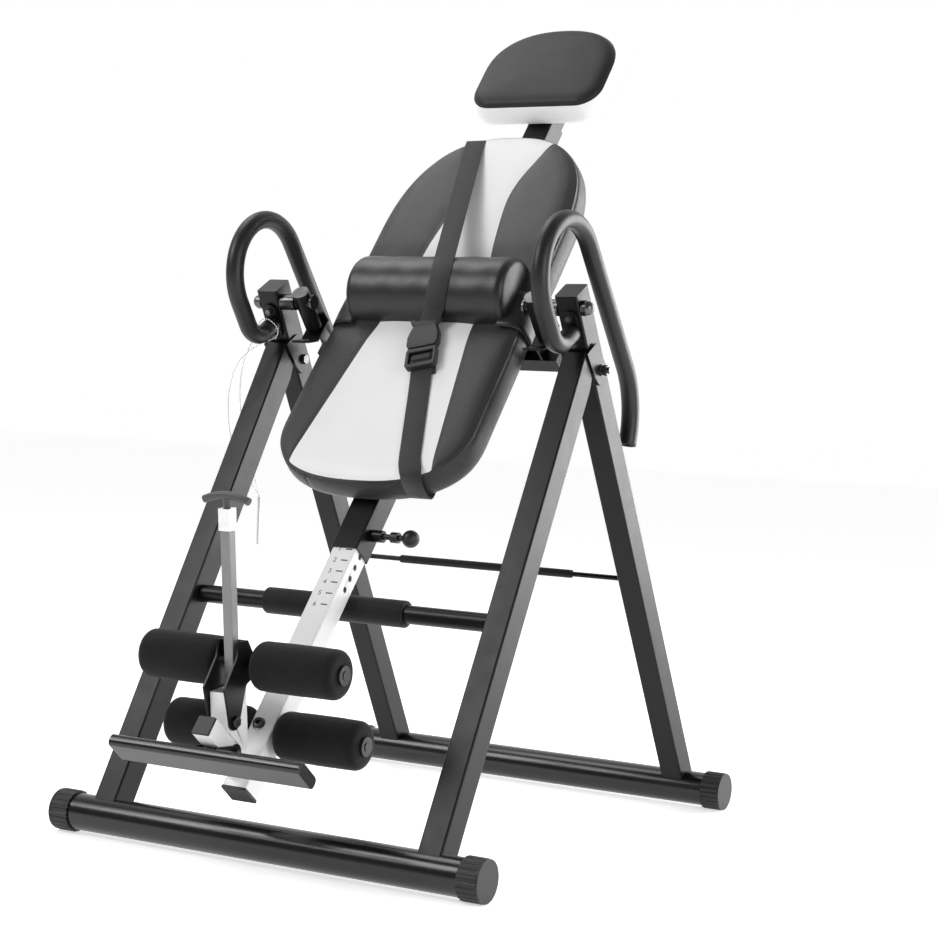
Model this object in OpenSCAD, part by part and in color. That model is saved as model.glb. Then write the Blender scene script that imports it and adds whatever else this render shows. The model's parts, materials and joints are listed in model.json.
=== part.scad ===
// Folding inversion table: A-frame stand, tilting padded bed, height-set foot
// tube with an ankle clamp. Millimetres, +Z up, X across, the user faces -Y.

/* [Stand] */
// Width over the end caps of the base tubes
overall_w = 720; // [690:1:740]
// Distance between the two base tubes
base_depth = 804; // [800:1:808]
// Radius of the base tubes
base_r = 26.8; // [26:0.1:27.5]
// Radius over the ribs of the end caps
cap_r = 30.4; // [30.2:0.1:31]
// Half distance between the posts at their tops
post_x = 264.7; // [262:0.1:266]
// Outside size of the front legs across X
front_leg_w = 38; // [36:0.5:38.5]
// Outside size of the front legs front to back
front_leg_d = 44.5; // [42:0.5:46]
// Outside size of the rear legs across X
rear_leg_w = 36.8; // [35:0.1:37]
// Outside size of the rear legs front to back
rear_leg_d = 41.8; // [40:0.1:42]
// Wall of the frame tubes
wall = 1.6; // [1.2:0.1:2]

/* [Handles] */
// Radius of the handle tube
handle_r = 14; // [12:0.5:15]

/* [Bed] */
// Tilt of the bed back from upright, at rest
bed_tilt = 39; // [38.5:0.1:39]
// Half width of the lower pad
pad_half_w = 164; // [150:1:168]
// Thickness of the pads
pad_t = 45; // [35:1:50]
// Radius of the lumbar roll
bolster_r = 59.5; // [45:0.5:62]
// Width of the lap strap
strap_w = 35; // [25:1:45]

/* [Foot end] */
// Length of one ankle roller
roller_len = 133; // [110:1:135]
// Radius of an ankle roller
roller_r = 34.8; // [28:0.2:35]
// Distance between the height holes
hole_pitch = 19.6; // [18:0.2:20]
// Half width of the foot bar
foot_bar_half = 156; // [130:1:160]

/* [Hidden] */
$fn = 48;

EDGE = 0.3;            // gap between moving neighbours
front_y = -352.2;       // front base tube axis
rear_y = front_y + base_depth;
base_z = 30;           // height of both base tube axes
cap_len = 33;
pivot = [0, front_y + 358.5, 798];
fold_y = front_y + 419.3;
fold_z = 709.4;

// rear legs: foot and top of the tube axis, for the side at +X
rear_foot = [274.1, rear_y + 0.6, 45.6];
rear_top = [post_x, front_y + 354.35, 823.7];
front_foot = [274.2, front_y + 11.2, 45.6];
front_top = [265.9, front_y + 404, 745.7];
post_lean = 30.055;    // lean of the rear legs from upright
arm_x = 206;
beam_y = 109.5;        // beam axis behind the pivot, in the bed's frame
beam_top = 505;
beam_end = -394.5;
seam_y = 41;           // front seam plane of the pads
pin_s = -357;

// ---------- helpers ----------
module both_sides() {
    children();
    mirror([1, 0, 0]) children();
}

// Cylinder along X at [y, z] between two values of x
module rod_x(r, x0, x1, y, z) {
    translate([x0, y, z]) rotate([0, 90, 0]) cylinder(r = r, h = x1 - x0);
}

// Frame of the bed: Z runs to the head, Y to the back of the bed
module bed_frame() {
    translate(pivot) rotate([-bed_tilt, 0, 0]) children();
}

// Frame of the post top at +X: Z up along the post, -Y is its front face
module post_frame() {
    translate([0, rear_top[1], rear_top[2]]) rotate([post_lean, 0, 0]) children();
}

// Rectangular section with rounded corners, centred
module tube_section(w, d, r) {
    hull() {
        for (x = [-1, 1], y = [-1, 1])
            translate([x * (w / 2 - r), y * (d / 2 - r)]) circle(r = r, $fn = 16);
    }
}

// Closed rectangular tube along Z from z0 to z1, sealed at both ends
module closed_box_tube(w, d, z0, z1, r = 3) {
    difference() {
        translate([0, 0, z0]) linear_extrude(z1 - z0) tube_section(w, d, r);
        translate([-w / 2 + wall, -d / 2 + wall, z0 + 30]) cube([w - 2 * wall, d - 2 * wall, z1 - z0 - 33]);
    }
}

// Open rectangular tube along Z from z0 to z1
module box_tube(w, d, z0, z1, t, r = 2.5) {
    translate([0, 0, z0]) linear_extrude(z1 - z0) difference() {
        tube_section(w, d, r);
        square([w - 2 * t, d - 2 * t], center = true);
    }
}

// Places children with Z along the line from a to b, in the side at +X
module along(a, b) {
    v = b - a;
    lean = -atan2(v[1], v[2]);
    side = asin(v[0] / norm(v));
    translate(a) rotate([lean, 0, 0]) rotate([0, side, 0]) children();
}

module hex_head(r, h) {
    cylinder(r = r, h = h, $fn = 6);
}

// Ribbed cap profile
function rib_r(i) = (i % 4 < 2) ? cap_r : cap_r - 1.5;
module base_cap(y) {
    difference() {
        union() {
            translate([overall_w / 2 - cap_len, y, base_z]) rotate([0, 90, 0])
                linear_extrude(cap_len - 3)
                    polygon([for (i = [0:95]) rib_r(i) * [cos(i * 3.75), sin(i * 3.75)]]);
            rod_x(cap_r - 0.6, overall_w / 2 - 3.2, overall_w / 2, y, base_z);
        }
        rod_x(base_r, overall_w / 2 - cap_len - 1, overall_w / 2 - 4, y, base_z);
        translate([0, y - 40, -10]) cube([overall_w, 80, 10]);
    }
    difference() {
        rod_x(base_r - wall, overall_w / 2 - 22, overall_w / 2 - 4, y, base_z);
        rod_x(base_r - wall - 2, overall_w / 2 - 23, overall_w / 2 - 5, y, base_z);
    }
}

module base_tube(y) {
    difference() {
        rod_x(base_r, -overall_w / 2 + 4, overall_w / 2 - 4, y, base_z);
        rod_x(base_r - wall, -overall_w / 2, overall_w / 2, y, base_z);
    }
}

// ---------- rear frame ----------
module rear_base_tube() { color("#1b1b1d") base_tube(rear_y); }
module rear_base_caps() { color("#151516") both_sides() base_cap(rear_y); }
module front_base_tube() { color("#1b1b1d") base_tube(front_y); }
module front_base_caps() { color("#151516") both_sides() base_cap(front_y); }

module rear_leg() {
    difference() {
        along(rear_foot, rear_top)
            closed_box_tube(rear_leg_w, rear_leg_d, -10, norm(rear_top - rear_foot));
        rod_x(base_r, 200, 340, rear_y, base_z);
        rod_x(8, 200, 340, pivot[1], pivot[2]);
        rod_x(5.05, 200, 340, fold_y, fold_z);
        rod_x(4, 200, 270, front_y + 609, 384);
    }
}
module rear_leg_right() { color("#1d1d1f") rear_leg(); }
module rear_leg_left() { color("#1d1d1f") mirror([1, 0, 0]) rear_leg(); }

module rear_cross_rod() {
    color("#2a2a2c") rod_x(4, -269, 269, front_y + 609, 384);
}
module rear_rod_sleeve() {
    color("#161617") difference() {
        rod_x(6.75, -160, 160, front_y + 609, 384);
        rod_x(4, -161, 161, front_y + 609, 384);
    }
}

// Shaft, domed nut outside, collar between the post and the bed arm
module pivot_shafts() {
    color("#303033") both_sides() {
        rod_x(8, 190.5, 284, pivot[1], pivot[2]);
        rod_x(12, 187, 190.5, pivot[1], pivot[2]);
        difference() {
            rod_x(12.5, 220.5, 246, pivot[1], pivot[2]);
            rod_x(8, 220, 247, pivot[1], pivot[2]);
        }
        rod_x(11.5, 284, 292, pivot[1], pivot[2]);
        translate([290, pivot[1], pivot[2]]) intersection() {
            sphere(r = 11);
            translate([0, -12, -12]) cube(24);
        }
    }
}

// Bend table of a handle: [straight, bend radius, bend angle]
handle_bends = [[27, 34, 84.5], [42, 84.5, 176.5], [228, 125, 52], [15, 0, 0]];
handle_v = 57;         // handle root below the post top
bend_step = 8;         // degrees between the rings of a bend

// Centre line as [y, z] points: straight on, then the bend to the right, and so on
function handle_line(p, heading, i = 0) =
    let (b = handle_bends[i], q = p + b[0] * [cos(heading), sin(heading)],
         c = q + b[1] * [sin(heading), -cos(heading)], n = ceil(b[2] / bend_step))
    b[1] == 0 ? [p, q] :
    concat([p], [for (k = [0:n - 1]) let (a = heading + 90 - k * b[2] / n) c + b[1] * [cos(a), sin(a)]],
        handle_line(c + b[1] * [cos(heading + 90 - b[2]), sin(heading + 90 - b[2])],
            heading - b[2], i + 1));
root_p = [rear_top[1], rear_top[2]] + handle_v * [sin(post_lean), -cos(post_lean)]
    - (rear_leg_d / 2 + 4.1) * [cos(post_lean), sin(post_lean)];
handle_pts = [for (p = handle_line(root_p, 180 + post_lean)) [266, p[0], p[1]]];
handle_tip = handle_pts[len(handle_pts) - 1];
module handle_end() {
    translate(handle_tip) rotate([180 - 12.9, 0, 0]) children();
}
module handle_tube() {
    difference() {
        swept(handle_pts, handle_r, 20, [1, 0, 0]);
        handle_end() translate([0, 0, -50]) cylinder(r = handle_r - 2, h = 60);
    }
}
module handle_right() { color("#1a1a1b") handle_tube(); }
module handle_left() { color("#1a1a1b") mirror([1, 0, 0]) handle_tube(); }
module handle_end_plugs() {
    color("#0c0c0d") both_sides() handle_end()
        translate([0, 0, -12]) cylinder(r = handle_r - 2.1, h = 8);
}
module handle_flanges() {
    color("#1f1f21") both_sides() post_frame()
        translate([266, -rear_leg_d / 2 - 0.1, 0]) rotate([90, 0, 0]) linear_extrude(4) {
            translate([-12, -70]) square([24, 36]);
            translate([0, -34]) circle(r = 12);
            translate([0, -70]) circle(r = 12);
        }
}
module handle_bolts() {
    color("#4a4a4d") both_sides() post_frame()
        for (v = [-33, -76.5]) translate([266, -rear_leg_d / 2 - 4.1, v]) rotate([90, 0, 0]) {
            cylinder(r = 5.2, h = 1);
            translate([0, 0, 1]) hex_head(5, 4.2);
        }
}

// Ball chain, in [x, y behind the front tube, z]: up from the pin in front of the
// leg, round the left handle root and down the second strand to the pin
chain_r = 1.2;
chain_route = [
    [-291, 380, 486], [-294, 373, 494], [-297, 360, 508], [-299, 342, 528], [-300, 325, 550],
    [-300, 309, 575], [-300, 299, 600], [-299, 294, 630], [-297, 293, 658], [-294, 297, 682],
    [-290, 307, 702], [-284, 323, 718], [-277, 342, 730], [-266, 357, 738],
    [-254, 354, 743], [-248, 348, 754], [-254, 342, 765], [-266, 339, 770],
    [-278, 341, 765], [-284, 344, 754], [-286, 338, 740], [-288, 328, 722], [-290, 318, 700],
    [-292, 315, 675], [-294, 317, 648], [-295, 323, 620], [-296, 332, 593], [-296, 344, 566],
    [-296, 357, 541], [-296, 368, 518], [-297, 379, 498], [-297, 383, 486]];

function dir_at(p, i) =
    let (a = p[max(i - 1, 0)], b = p[min(i + 1, len(p) - 1)]) (b - a) / norm(b - a);
// Side vector across a path, from a direction that the path never takes
function side_at(d, ref) = let (s = cross(d, ref)) s / norm(s);
function ring_pts(p, i, r, n, ref) =
    let (d = dir_at(p, i), u = side_at(d, ref), w = cross(d, u))
    [for (k = [0:n - 1]) p[i] + r * (cos(k * 360 / n) * u + sin(k * 360 / n) * w)];
// Sweeps a round section along a list of points
module swept(p, r, n, ref) {
    m = len(p);
    pts = [for (i = [0:m - 1]) each ring_pts(p, i, r, n, ref)];
    sides = [for (i = [0:m - 2], k = [0:n - 1])
        [i * n + k, (i + 1) * n + k, (i + 1) * n + (k + 1) % n, i * n + (k + 1) % n]];
    cap_a = [[for (k = [0:n - 1]) k]];
    cap_b = [[for (k = [0:n - 1]) (m - 1) * n + n - 1 - k]];
    polyhedron(points = pts, faces = concat(cap_a, sides, cap_b));
}
module chain() {
    color("#c9c9cc") translate([0, front_y, 0]) swept(chain_route, chain_r, 8, [0, 0.87, 0.5]);
}
module chain_pin() {
    color("#d0d0d2") translate([-294, front_y + 381.5, 409]) {
        cylinder(r = 3, h = 72);
        translate([0, 0, 71]) cylinder(r = 3.8, h = 5.5);
    }
}

// ---------- front frame ----------
module front_leg() {
    difference() {
        along(front_foot, front_top)
            closed_box_tube(front_leg_w, front_leg_d, -26, norm(front_top - front_foot) + 20);
        rod_x(base_r, 200, 340, front_y, base_z);
        translate([266, fold_y, fold_z]) rotate([post_lean, 0, 0]) {
            translate([-60, -23.2, -200]) cube([120, 260, 400]);
            rotate([-45, 0, 0]) translate([-60, -20.9, -260]) cube([120, 260, 460]);
            translate([-60, -80, 44.5]) cube([120, 100, 40]);
        }
        rod_x(13.5, 200, 252, front_y + 182.7, 346);
    }
}
module front_leg_right() { color("#1d1d1f") front_leg(); }
module front_leg_left() { color("#1d1d1f") mirror([1, 0, 0]) front_leg(); }
module front_crossbar() {
    color("#1b1b1d") difference() {
        rod_x(13.5, -251.5, 251.5, front_y + 182.7, 346);
        rod_x(12, -250, 250, front_y + 182.7, 346);
    }
}
module crossbar_sleeve() {
    color("#141415") difference() {
        rod_x(20, -131, 110, front_y + 182.7, 346);
        rod_x(13.5, -132, 111, front_y + 182.7, 346);
    }
}

function arc(cx, cy, r, a0, a1, n) =
    [for (i = [0:n]) [cx + r * cos(a0 + (a1 - a0) * i / n), cy + r * sin(a0 + (a1 - a0) * i / n)]];
// Leaf plate outline in [back, up] from the fold bolt
leaf = concat([[-32, 43.5], [-23.5, 0]], arc(-2, -4, 18.5, 215, 370, 14), [[5, 42], [1, 44.5], [-3, 45]]);
module hinge_brackets() {
    color("#232325") both_sides() difference() {
        translate([266.1, fold_y, fold_z]) rotate([post_lean, 0, 0]) {
            for (x = [-front_leg_w / 2 - 3, front_leg_w / 2 + 0.6])
                translate([x, 0, 0]) rotate([90, 0, 90]) linear_extrude(3) polygon(leaf);
            translate([-front_leg_w / 2 - 3, -23.2, 13]) cube([front_leg_w + 6.6, 3, 31.5]);
        }
        rod_x(5.05, 230, 300, fold_y, fold_z);
    }
}
module hinge_bolts() {
    color("#58585b") both_sides() {
        rod_x(5, 240, 303, fold_y, fold_z);
        translate([244.1, fold_y, fold_z]) rotate([0, -90, 0]) hex_head(8, 5.5);
        rod_x(9, 288.7, 290.3, fold_y, fold_z);
        translate([290.3, fold_y, fold_z]) rotate([0, 90, 0]) hex_head(8, 8.4);
    }
}

// ---------- bed ----------
module main_beam() {
    color("#1d1d1f") bed_frame() difference() {
        translate([0, beam_y, 0]) box_tube(45, 41, beam_end, beam_top, 2);
        rod_x(4.5, 15, 30, beam_y, pin_s);
    }
}
module bed_cross_tubes() {
    color("#1d1d1f") bed_frame() both_sides() difference() {
        translate([22.6, 91.6, -26]) cube([192, 25, 25]);
        translate([22, 93.6, -24]) cube([188, 21, 21]);
    }
}
arm_lean = -12;
module arm_axis() {
    translate([arm_x, 0, 0]) rotate([90 + arm_lean, 0, 0]) children();
}
module pivot_arms() {
    color("#1a1a1c") bed_frame() both_sides() difference() {
        arm_axis() translate([0, 0, -48]) cylinder(r = 13.5, h = 66);
        arm_axis() translate([0, 0, -46]) cylinder(r = 11.5, h = 62);
        rod_x(10, 180, 240, 0, 0);
    }
}
module arm_caps() {
    color("#8d9094") bed_frame() both_sides() arm_axis() translate([0, 0, 18])
        rotate_extrude() polygon(concat([[0, 0], [13.3, 0], [13.3, 2.5]],
            [for (a = [15:15:90]) [13.3 * cos(a), 2.5 + 3.5 * sin(a)]]));
}
module pivot_bushes() {
    color("#6b6b6e") bed_frame() both_sides() difference() {
        rod_x(10, 192, 220, 0, 0);
        rod_x(8.05, 191, 221, 0, 0);
    }
}
// Bent strap across the end of each arm, in [back, up], and its gusset to the cross tube
hook = [[34, 11], [54, 11], [54, -34], [34.5, -54.5], [32, -52], [50.5, -32.6], [50.5, 7.5], [34, 7.5]];
module arm_clamps() {
    color("#2c2c2f") bed_frame() both_sides() translate([arm_x - 16, 0, 0]) {
        rotate([90, 0, 90]) linear_extrude(32) polygon(hook);
        translate([0, 53.5, -26]) cube([3.5, 38, 22]);
    }
}

// Pad outlines in [x, s]: a superellipse end joined to straight sides
function end_arc(a, b, s0, dir, n, e) =
    [for (i = [0:n]) let (t = i * 180 / n)
        [a * sign(cos(t)) * pow(abs(cos(t)), 2 / e), s0 + dir * b * pow(sin(t), 2 / e)]];
lower_outline = concat(end_arc(pad_half_w, 108, -200, -1, 36, 2.5),
    [[-pad_half_w, -60], [-pad_half_w + 3, 22], [pad_half_w - 3, 22], [pad_half_w, -60]]);
upper_outline = concat(end_arc(pad_half_w, 214, 190, 1, 36, 2.5),
    [[-pad_half_w, 120], [-pad_half_w + 3, 26], [pad_half_w - 3, 26], [pad_half_w, 120]]);
module pad_solid(outline) {
    bed_frame() translate([0, seam_y + pad_t - 8, 0]) rotate([90, 0, 0])
        linear_extrude(pad_t - 8) polygon(outline);
}
module lower_pad() { color("#222224") pad_solid(lower_outline); }
module upper_pad() { color("#222224") pad_solid(upper_outline); }
module pad_boards() {
    color("#3a2f26") bed_frame() {
        for (s = [[-262, 14], [34, 344]])
            translate([-120, seam_y + pad_t - 8 + 0.05, s[0]]) cube([240, 7.9, s[1] - s[0]]);
        for (s = [-200, -60, 90, 290])
            translate([-22, seam_y + pad_t, s]) cube([44, beam_y - 20.6 - seam_y - pad_t, 30]);
    }
}
module bolster() {
    color("#202022") bed_frame() translate([-140, seam_y - 0.2, 57.6]) rotate([0, 90, 0])
        linear_extrude(280) polygon(arc(0, 0, bolster_r, 180, 360, 32));
}
strap_lean = 15.7;
module lap_strap() {
    color("#19191a") bed_frame() {
        translate([9 - strap_w / 2, seam_y - 2, 0]) multmatrix([[1, 0, -tan(strap_lean), 0]])
            translate([0, 0, -289]) cube([strap_w, 1.7, 277]);
        along([26.8, -19.7, 67], [-61, 33.5, 386])
            translate([-strap_w / 2, -1.7, 0]) cube([strap_w, 1.7, 335]);
    }
}
module buckle() {
    color("#121213") bed_frame() translate([25.5, seam_y - 2.2, -55]) rotate([0, -strap_lean, 0]) {
        translate([-26, -14, -50]) cube([52, 14, 62]);
        translate([-20, -12, 12]) cube([40, 10, 38]);
    }
}

// Knob side of the height lock
module pin_barrel() {
    color("#1c1c1e") bed_frame() difference() {
        rod_x(9, 22.6, 44, beam_y, pin_s);
        rod_x(4.3, 22, 45, beam_y, pin_s);
    }
}
module pull_pin() {
    color("#161617") bed_frame() {
        rod_x(4.25, 20.9, 84, beam_y, pin_s);
        rod_x(8, 58, 70, beam_y, pin_s);
        translate([90, beam_y, pin_s]) sphere(r = 13);
    }
}

// ---------- headrest ----------
module head_post() {
    color("#232325") bed_frame() translate([0, beam_y, 0]) box_tube(40, 36, 330, 640, 2);
}
module headrest_board() {
    color("#202022") bed_frame() {
        translate([-75, 83.2, 515]) cube([150, 8, 120]);
    }
}
head_outline = concat([[-76, 484], [56, 484]], arc(80, 524, 40, -90, 0, 8),
    end_arc(120, 97, 570, 1, 30, 2.3), arc(-80, 524, 40, 180, 270, 8));
module headrest() {
    color("#e8e8e8") bed_frame() translate([0, 83, 0]) rotate([90, 0, 0])
        linear_extrude(44) polygon(head_outline);
}

// ---------- foot end ----------
module inner_tube() {
    color("#ededee") bed_frame() difference() {
        translate([0, beam_y, 0]) box_tube(40, 36, -798, -200, 2);
        for (k = [-5:4]) rod_x(4.5, -30, 30, beam_y, pin_s + k * hole_pitch);
        rod_x(6, -30, 30, 109, -701.7);
    }
}
module inner_tube_cap() {
    color("#141415") bed_frame() translate([0, beam_y, 0]) {
        translate([-20, -18, -802]) cube([40, 36, 4]);
        translate([-18, -16, -798]) cube([36, 32, 12]);
    }
}
module ankle_cross_tube() {
    color("#ededee") bed_frame() difference() {
        translate([-13.5, -21, -786.5]) cube([27, beam_y - 18 + 21 - 0.05, 27]);
        translate([-11.5, -22, -784.5]) cube([23, beam_y - 18 + 21 - 2, 23]);
        rod_x(4, -30, 30, 43.8, -763.6 - 9.4);
    }
}
module cross_tube_cap() {
    color("#141415") bed_frame() {
        translate([-13.5, -25, -786.5]) cube([27, 4, 27]);
        translate([-11.5, -21, -784.5]) cube([23, 10, 23]);
    }
}
post_lean_f = 6.9;
clamp_y = front_y - 101.4;
clamp_z = 213.8;
module clamp_post() {
    color("#ededee") difference() {
        translate([0, front_y - 92, 235]) rotate([post_lean_f, 0, 0]) box_tube(30, 45, -70, 21, 2);
        bed_frame() translate([-40, -60, -850]) cube([80, 250, 90.5]);
        rod_x(5, -30, 30, clamp_y, clamp_z);
    }
}
module axle_with_washers(y, z, gap) {
    rod_x(6, -roller_len - gap - 6, roller_len + gap + 6, y, z);
    both_sides() {
        difference() {
            rod_x(13.5, roller_len + gap + 0.5, roller_len + gap + 5, y, z);
            translate([roller_len + gap + 2.5, y, z]) rotate([0, 90, 0]) hex_head(7, 5);
            rod_x(6, 100, 200, y, z);
        }
    }
}
module rear_axle() {
    color("#77787b") bed_frame() axle_with_washers(109, -701.7, 26.7);
}
module foot_bar() {
    color("#202022") bed_frame() translate([0, 21, -801]) rotate([90, 0, 90])
        translate([0, 0, -foot_bar_half]) linear_extrude(2 * foot_bar_half) tube_section(49, 18, 7);
}
module foot_bar_ears() {
    color("#262628") bed_frame() both_sides() difference() {
        translate([13.8, 0, 0]) rotate([90, 0, 90]) linear_extrude(3)
            polygon(concat([[-2, -792], [46, -792]], arc(43.8, -771, 11, 10, 160, 10)));
        rod_x(4, 0, 40, 43.8, -773);
    }
}
module foot_bar_bolt() {
    color("#6a6a6d") bed_frame() {
        rod_x(4, -22, 22, 43.8, -773);
        both_sides() translate([16.8, 43.8, -773]) rotate([0, 90, 0]) hex_head(6.5, 5);
    }
}

// ---------- ankle clamp ----------
front_axle_p = [front_y - 60.7, 287];
bracket_side = concat(
    arc(clamp_y, clamp_z, 12, 180, 330, 10),
    [[front_y - 80, 255], [front_y - 77, 262]],
    arc(front_axle_p[0], front_axle_p[1], 14, -60, 100, 10),
    [[front_y - 78, 322], [front_y - 98, 322], [front_y - 101, 300], [front_y - 128, 260]]);
module clamp_bracket() {
    color("#2a2a2d") difference() {
        union() {
            both_sides() translate([15.4, 0, 0]) rotate([90, 0, 90]) linear_extrude(3)
                polygon(bracket_side);
            translate([-15.4, front_y - 80.6, 297]) cube([30.8, 2.5, 25]);
        }
        rod_x(5.05, -40, 40, clamp_y, clamp_z);
        rod_x(6, -40, 40, front_axle_p[0], front_axle_p[1]);
    }
}
module clamp_bolt() {
    color("#77787b") {
        rod_x(5, -22, 22, clamp_y, clamp_z);
        both_sides() translate([18.8, clamp_y, clamp_z]) rotate([0, 90, 0]) hex_head(8, 5);
    }
}
lever_foot = [0, front_y - 84.6, 261];
lever_top = [0, front_y - 112.5, 501];
lever_len = norm(lever_top - lever_foot);
module lever_frame() { along(lever_foot, lever_top) children(); }
module lever_tube() {
    color("#7c7e82") lever_frame() box_tube(15, 15, 0, lever_len - 8, 1.8, 1.5);
}
module lever_collar() {
    color("#b9babd") lever_frame() difference() {
        translate([0, 0, lever_len - 30]) linear_extrude(30) tube_section(18.4, 18.4, 2);
        translate([-7.5, -7.5, lever_len - 31]) cube([15, 15, 23.05]);
        translate([0, 0, lever_len - 9]) cylinder(r = 5.05, h = 12);
    }
}
module front_axle() {
    color("#77787b") axle_with_washers(front_axle_p[0], front_axle_p[1], 27);
}
// Rod in the lever tube and the curved bar on top of it
grip_arc_r = 96;       // curve of the pull bar
module release_handle() {
    color("#5c5d60") lever_frame() {
        translate([0, 0, lever_len - 60]) cylinder(r = 5, h = 76);
        translate([0, 0, lever_len + 17.5 - grip_arc_r]) rotate([90, 0, 0])
            rotate([0, 0, 67.5]) rotate_extrude(angle = 45) translate([grip_arc_r, 0]) circle(r = 5.4);
    }
}

// Foam roller with a plastic core that runs on the axle
module roller(y, z, x0) {
    difference() {
        translate([x0, y, z]) rotate([0, 90, 0]) rotate_extrude() polygon(concat(
            [[6.08, 0]], arc(roller_r - 9, 9, 9, -90, 0, 6), arc(roller_r - 9, roller_len - 9, 9, 0, 90, 6),
            [[6.08, roller_len]]));
    }
}
module rear_roller_right() { color("#131314") bed_frame() roller(109, -701.7, 26.9); }
module rear_roller_left() { color("#131314") bed_frame() mirror([1, 0, 0]) roller(109, -701.7, 26.9); }
module front_roller_right() { color("#131314") roller(front_axle_p[0], front_axle_p[1], 27.2); }
module front_roller_left() {
    color("#131314") mirror([1, 0, 0]) roller(front_axle_p[0], front_axle_p[1], 27.2);
}

rear_base_tube();
rear_base_caps();
rear_leg_left();
rear_leg_right();
rear_cross_rod();
rear_rod_sleeve();
pivot_shafts();
handle_left();
handle_right();
handle_flanges();
handle_bolts();
handle_end_plugs();
chain();
chain_pin();
front_base_tube();
front_base_caps();
front_leg_left();
front_leg_right();
front_crossbar();
crossbar_sleeve();
hinge_brackets();
hinge_bolts();
main_beam();
bed_cross_tubes();
pivot_arms();
arm_caps();
arm_clamps();
pivot_bushes();
pad_boards();
lower_pad();
upper_pad();
bolster();
lap_strap();
buckle();
pin_barrel();
pull_pin();
head_post();
headrest_board();
headrest();
inner_tube();
inner_tube_cap();
ankle_cross_tube();
cross_tube_cap();
clamp_post();
rear_axle();
foot_bar();
foot_bar_ears();
foot_bar_bolt();
clamp_bracket();
clamp_bolt();
lever_tube();
lever_collar();
front_axle();
release_handle();
rear_roller_left();
rear_roller_right();
front_roller_left();
front_roller_right();
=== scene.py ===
"""Inversion table: looks, soft parts, chain, materials, light and camera around the CAD frame."""

import json
import math

import bmesh
import bpy
import numpy as np
from mathutils import Matrix, Vector


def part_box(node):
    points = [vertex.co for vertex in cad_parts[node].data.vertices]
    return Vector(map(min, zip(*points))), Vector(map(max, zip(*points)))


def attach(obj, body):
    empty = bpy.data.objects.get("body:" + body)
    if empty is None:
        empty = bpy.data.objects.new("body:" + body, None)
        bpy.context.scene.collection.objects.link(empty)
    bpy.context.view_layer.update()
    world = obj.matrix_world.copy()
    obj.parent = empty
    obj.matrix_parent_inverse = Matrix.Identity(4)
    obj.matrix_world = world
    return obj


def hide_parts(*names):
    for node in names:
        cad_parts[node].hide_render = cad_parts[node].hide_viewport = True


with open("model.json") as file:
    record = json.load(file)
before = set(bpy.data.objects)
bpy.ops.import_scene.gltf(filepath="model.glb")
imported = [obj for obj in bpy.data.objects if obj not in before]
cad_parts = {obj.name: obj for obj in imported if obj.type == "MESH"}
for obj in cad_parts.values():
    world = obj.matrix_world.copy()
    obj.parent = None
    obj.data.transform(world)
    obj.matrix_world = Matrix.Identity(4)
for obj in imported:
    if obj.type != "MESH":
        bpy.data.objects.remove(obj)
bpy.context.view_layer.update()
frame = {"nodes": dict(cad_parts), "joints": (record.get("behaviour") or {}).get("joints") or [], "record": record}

NODES = frame["nodes"]
JOINTS = {j["name"]: j for j in frame["joints"]}
MM = 0.001


# ---------------------------------------------------------------- places
FRONT_Y = -0.3522  # front base tube
PIVOT = np.array(JOINTS["bed_tilt"]["pos_m"])
UP_BED = -np.array(JOINTS["foot_tube_height"]["axis"])  # towards the head
BACK_BED = np.array([0.0, UP_BED[2], -UP_BED[1]])  # behind the bed


def bed(x, back, up):
    """A point in the bed's own frame, in mm, as a point in the row frame."""
    return PIVOT + MM * (np.array([x, 0, 0]) + back * BACK_BED + up * UP_BED)


def bed_outline(outline, back):
    """An outline of (x, up) points at one depth in the bed's frame, as points in the row frame."""
    return [bed(x, back, up) for x, up in outline]


# ---------------------------------------------------------------- camera
def make_camera():
    """The camera, with its axes as solved for the view."""
    data = bpy.data.cameras.new("camera")
    data.sensor_width = 36
    data.sensor_fit = "HORIZONTAL"
    data.lens = 81.316
    cam = bpy.data.objects.new("camera", data)
    bpy.context.scene.collection.objects.link(cam)
    right = Vector((0.869748, 0.491718, 0.041995))
    up = Vector((-0.055928, 0.013659, 0.998341))
    back = Vector((0.49033, -0.87065, 0.03938))
    basis = Matrix((right, up, back)).transposed().to_4x4()
    cam.matrix_world = Matrix.Translation((1.66736, -2.4195 + FRONT_Y, 0.67901)) @ basis
    bpy.context.scene.camera = cam


make_camera()


# ---------------------------------------------------------------- mesh helpers
def mesh_object(name, verts, faces, materials=(), face_slots=None, smooth=True):
    mesh = bpy.data.meshes.new(name)
    mesh.from_pydata([tuple(v) for v in verts], [], [tuple(f) for f in faces])
    for m in materials:
        mesh.materials.append(m)
    if face_slots is not None:
        mesh.polygons.foreach_set("material_index", face_slots)
    mesh.polygons.foreach_set("use_smooth", [smooth] * len(mesh.polygons))
    mesh.update()
    obj = bpy.data.objects.new(name, mesh)
    bpy.context.scene.collection.objects.link(obj)
    return obj


def tidy_mesh(obj, distance=2e-5):
    """Welds doubles, drops flat faces and points all normals outwards."""
    bm = bmesh.new()
    bm.from_mesh(obj.data)
    bmesh.ops.remove_doubles(bm, verts=bm.verts, dist=distance)
    bmesh.ops.dissolve_degenerate(bm, edges=bm.edges, dist=distance / 4)
    bmesh.ops.recalc_face_normals(bm, faces=bm.faces)
    bm.to_mesh(obj.data)
    bm.free()
    return obj


def apply_modifiers(obj):
    graph = bpy.context.evaluated_depsgraph_get()
    done = bpy.data.meshes.new_from_object(obj.evaluated_get(graph))
    obj.modifiers.clear()
    obj.data = done
    return obj


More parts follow.
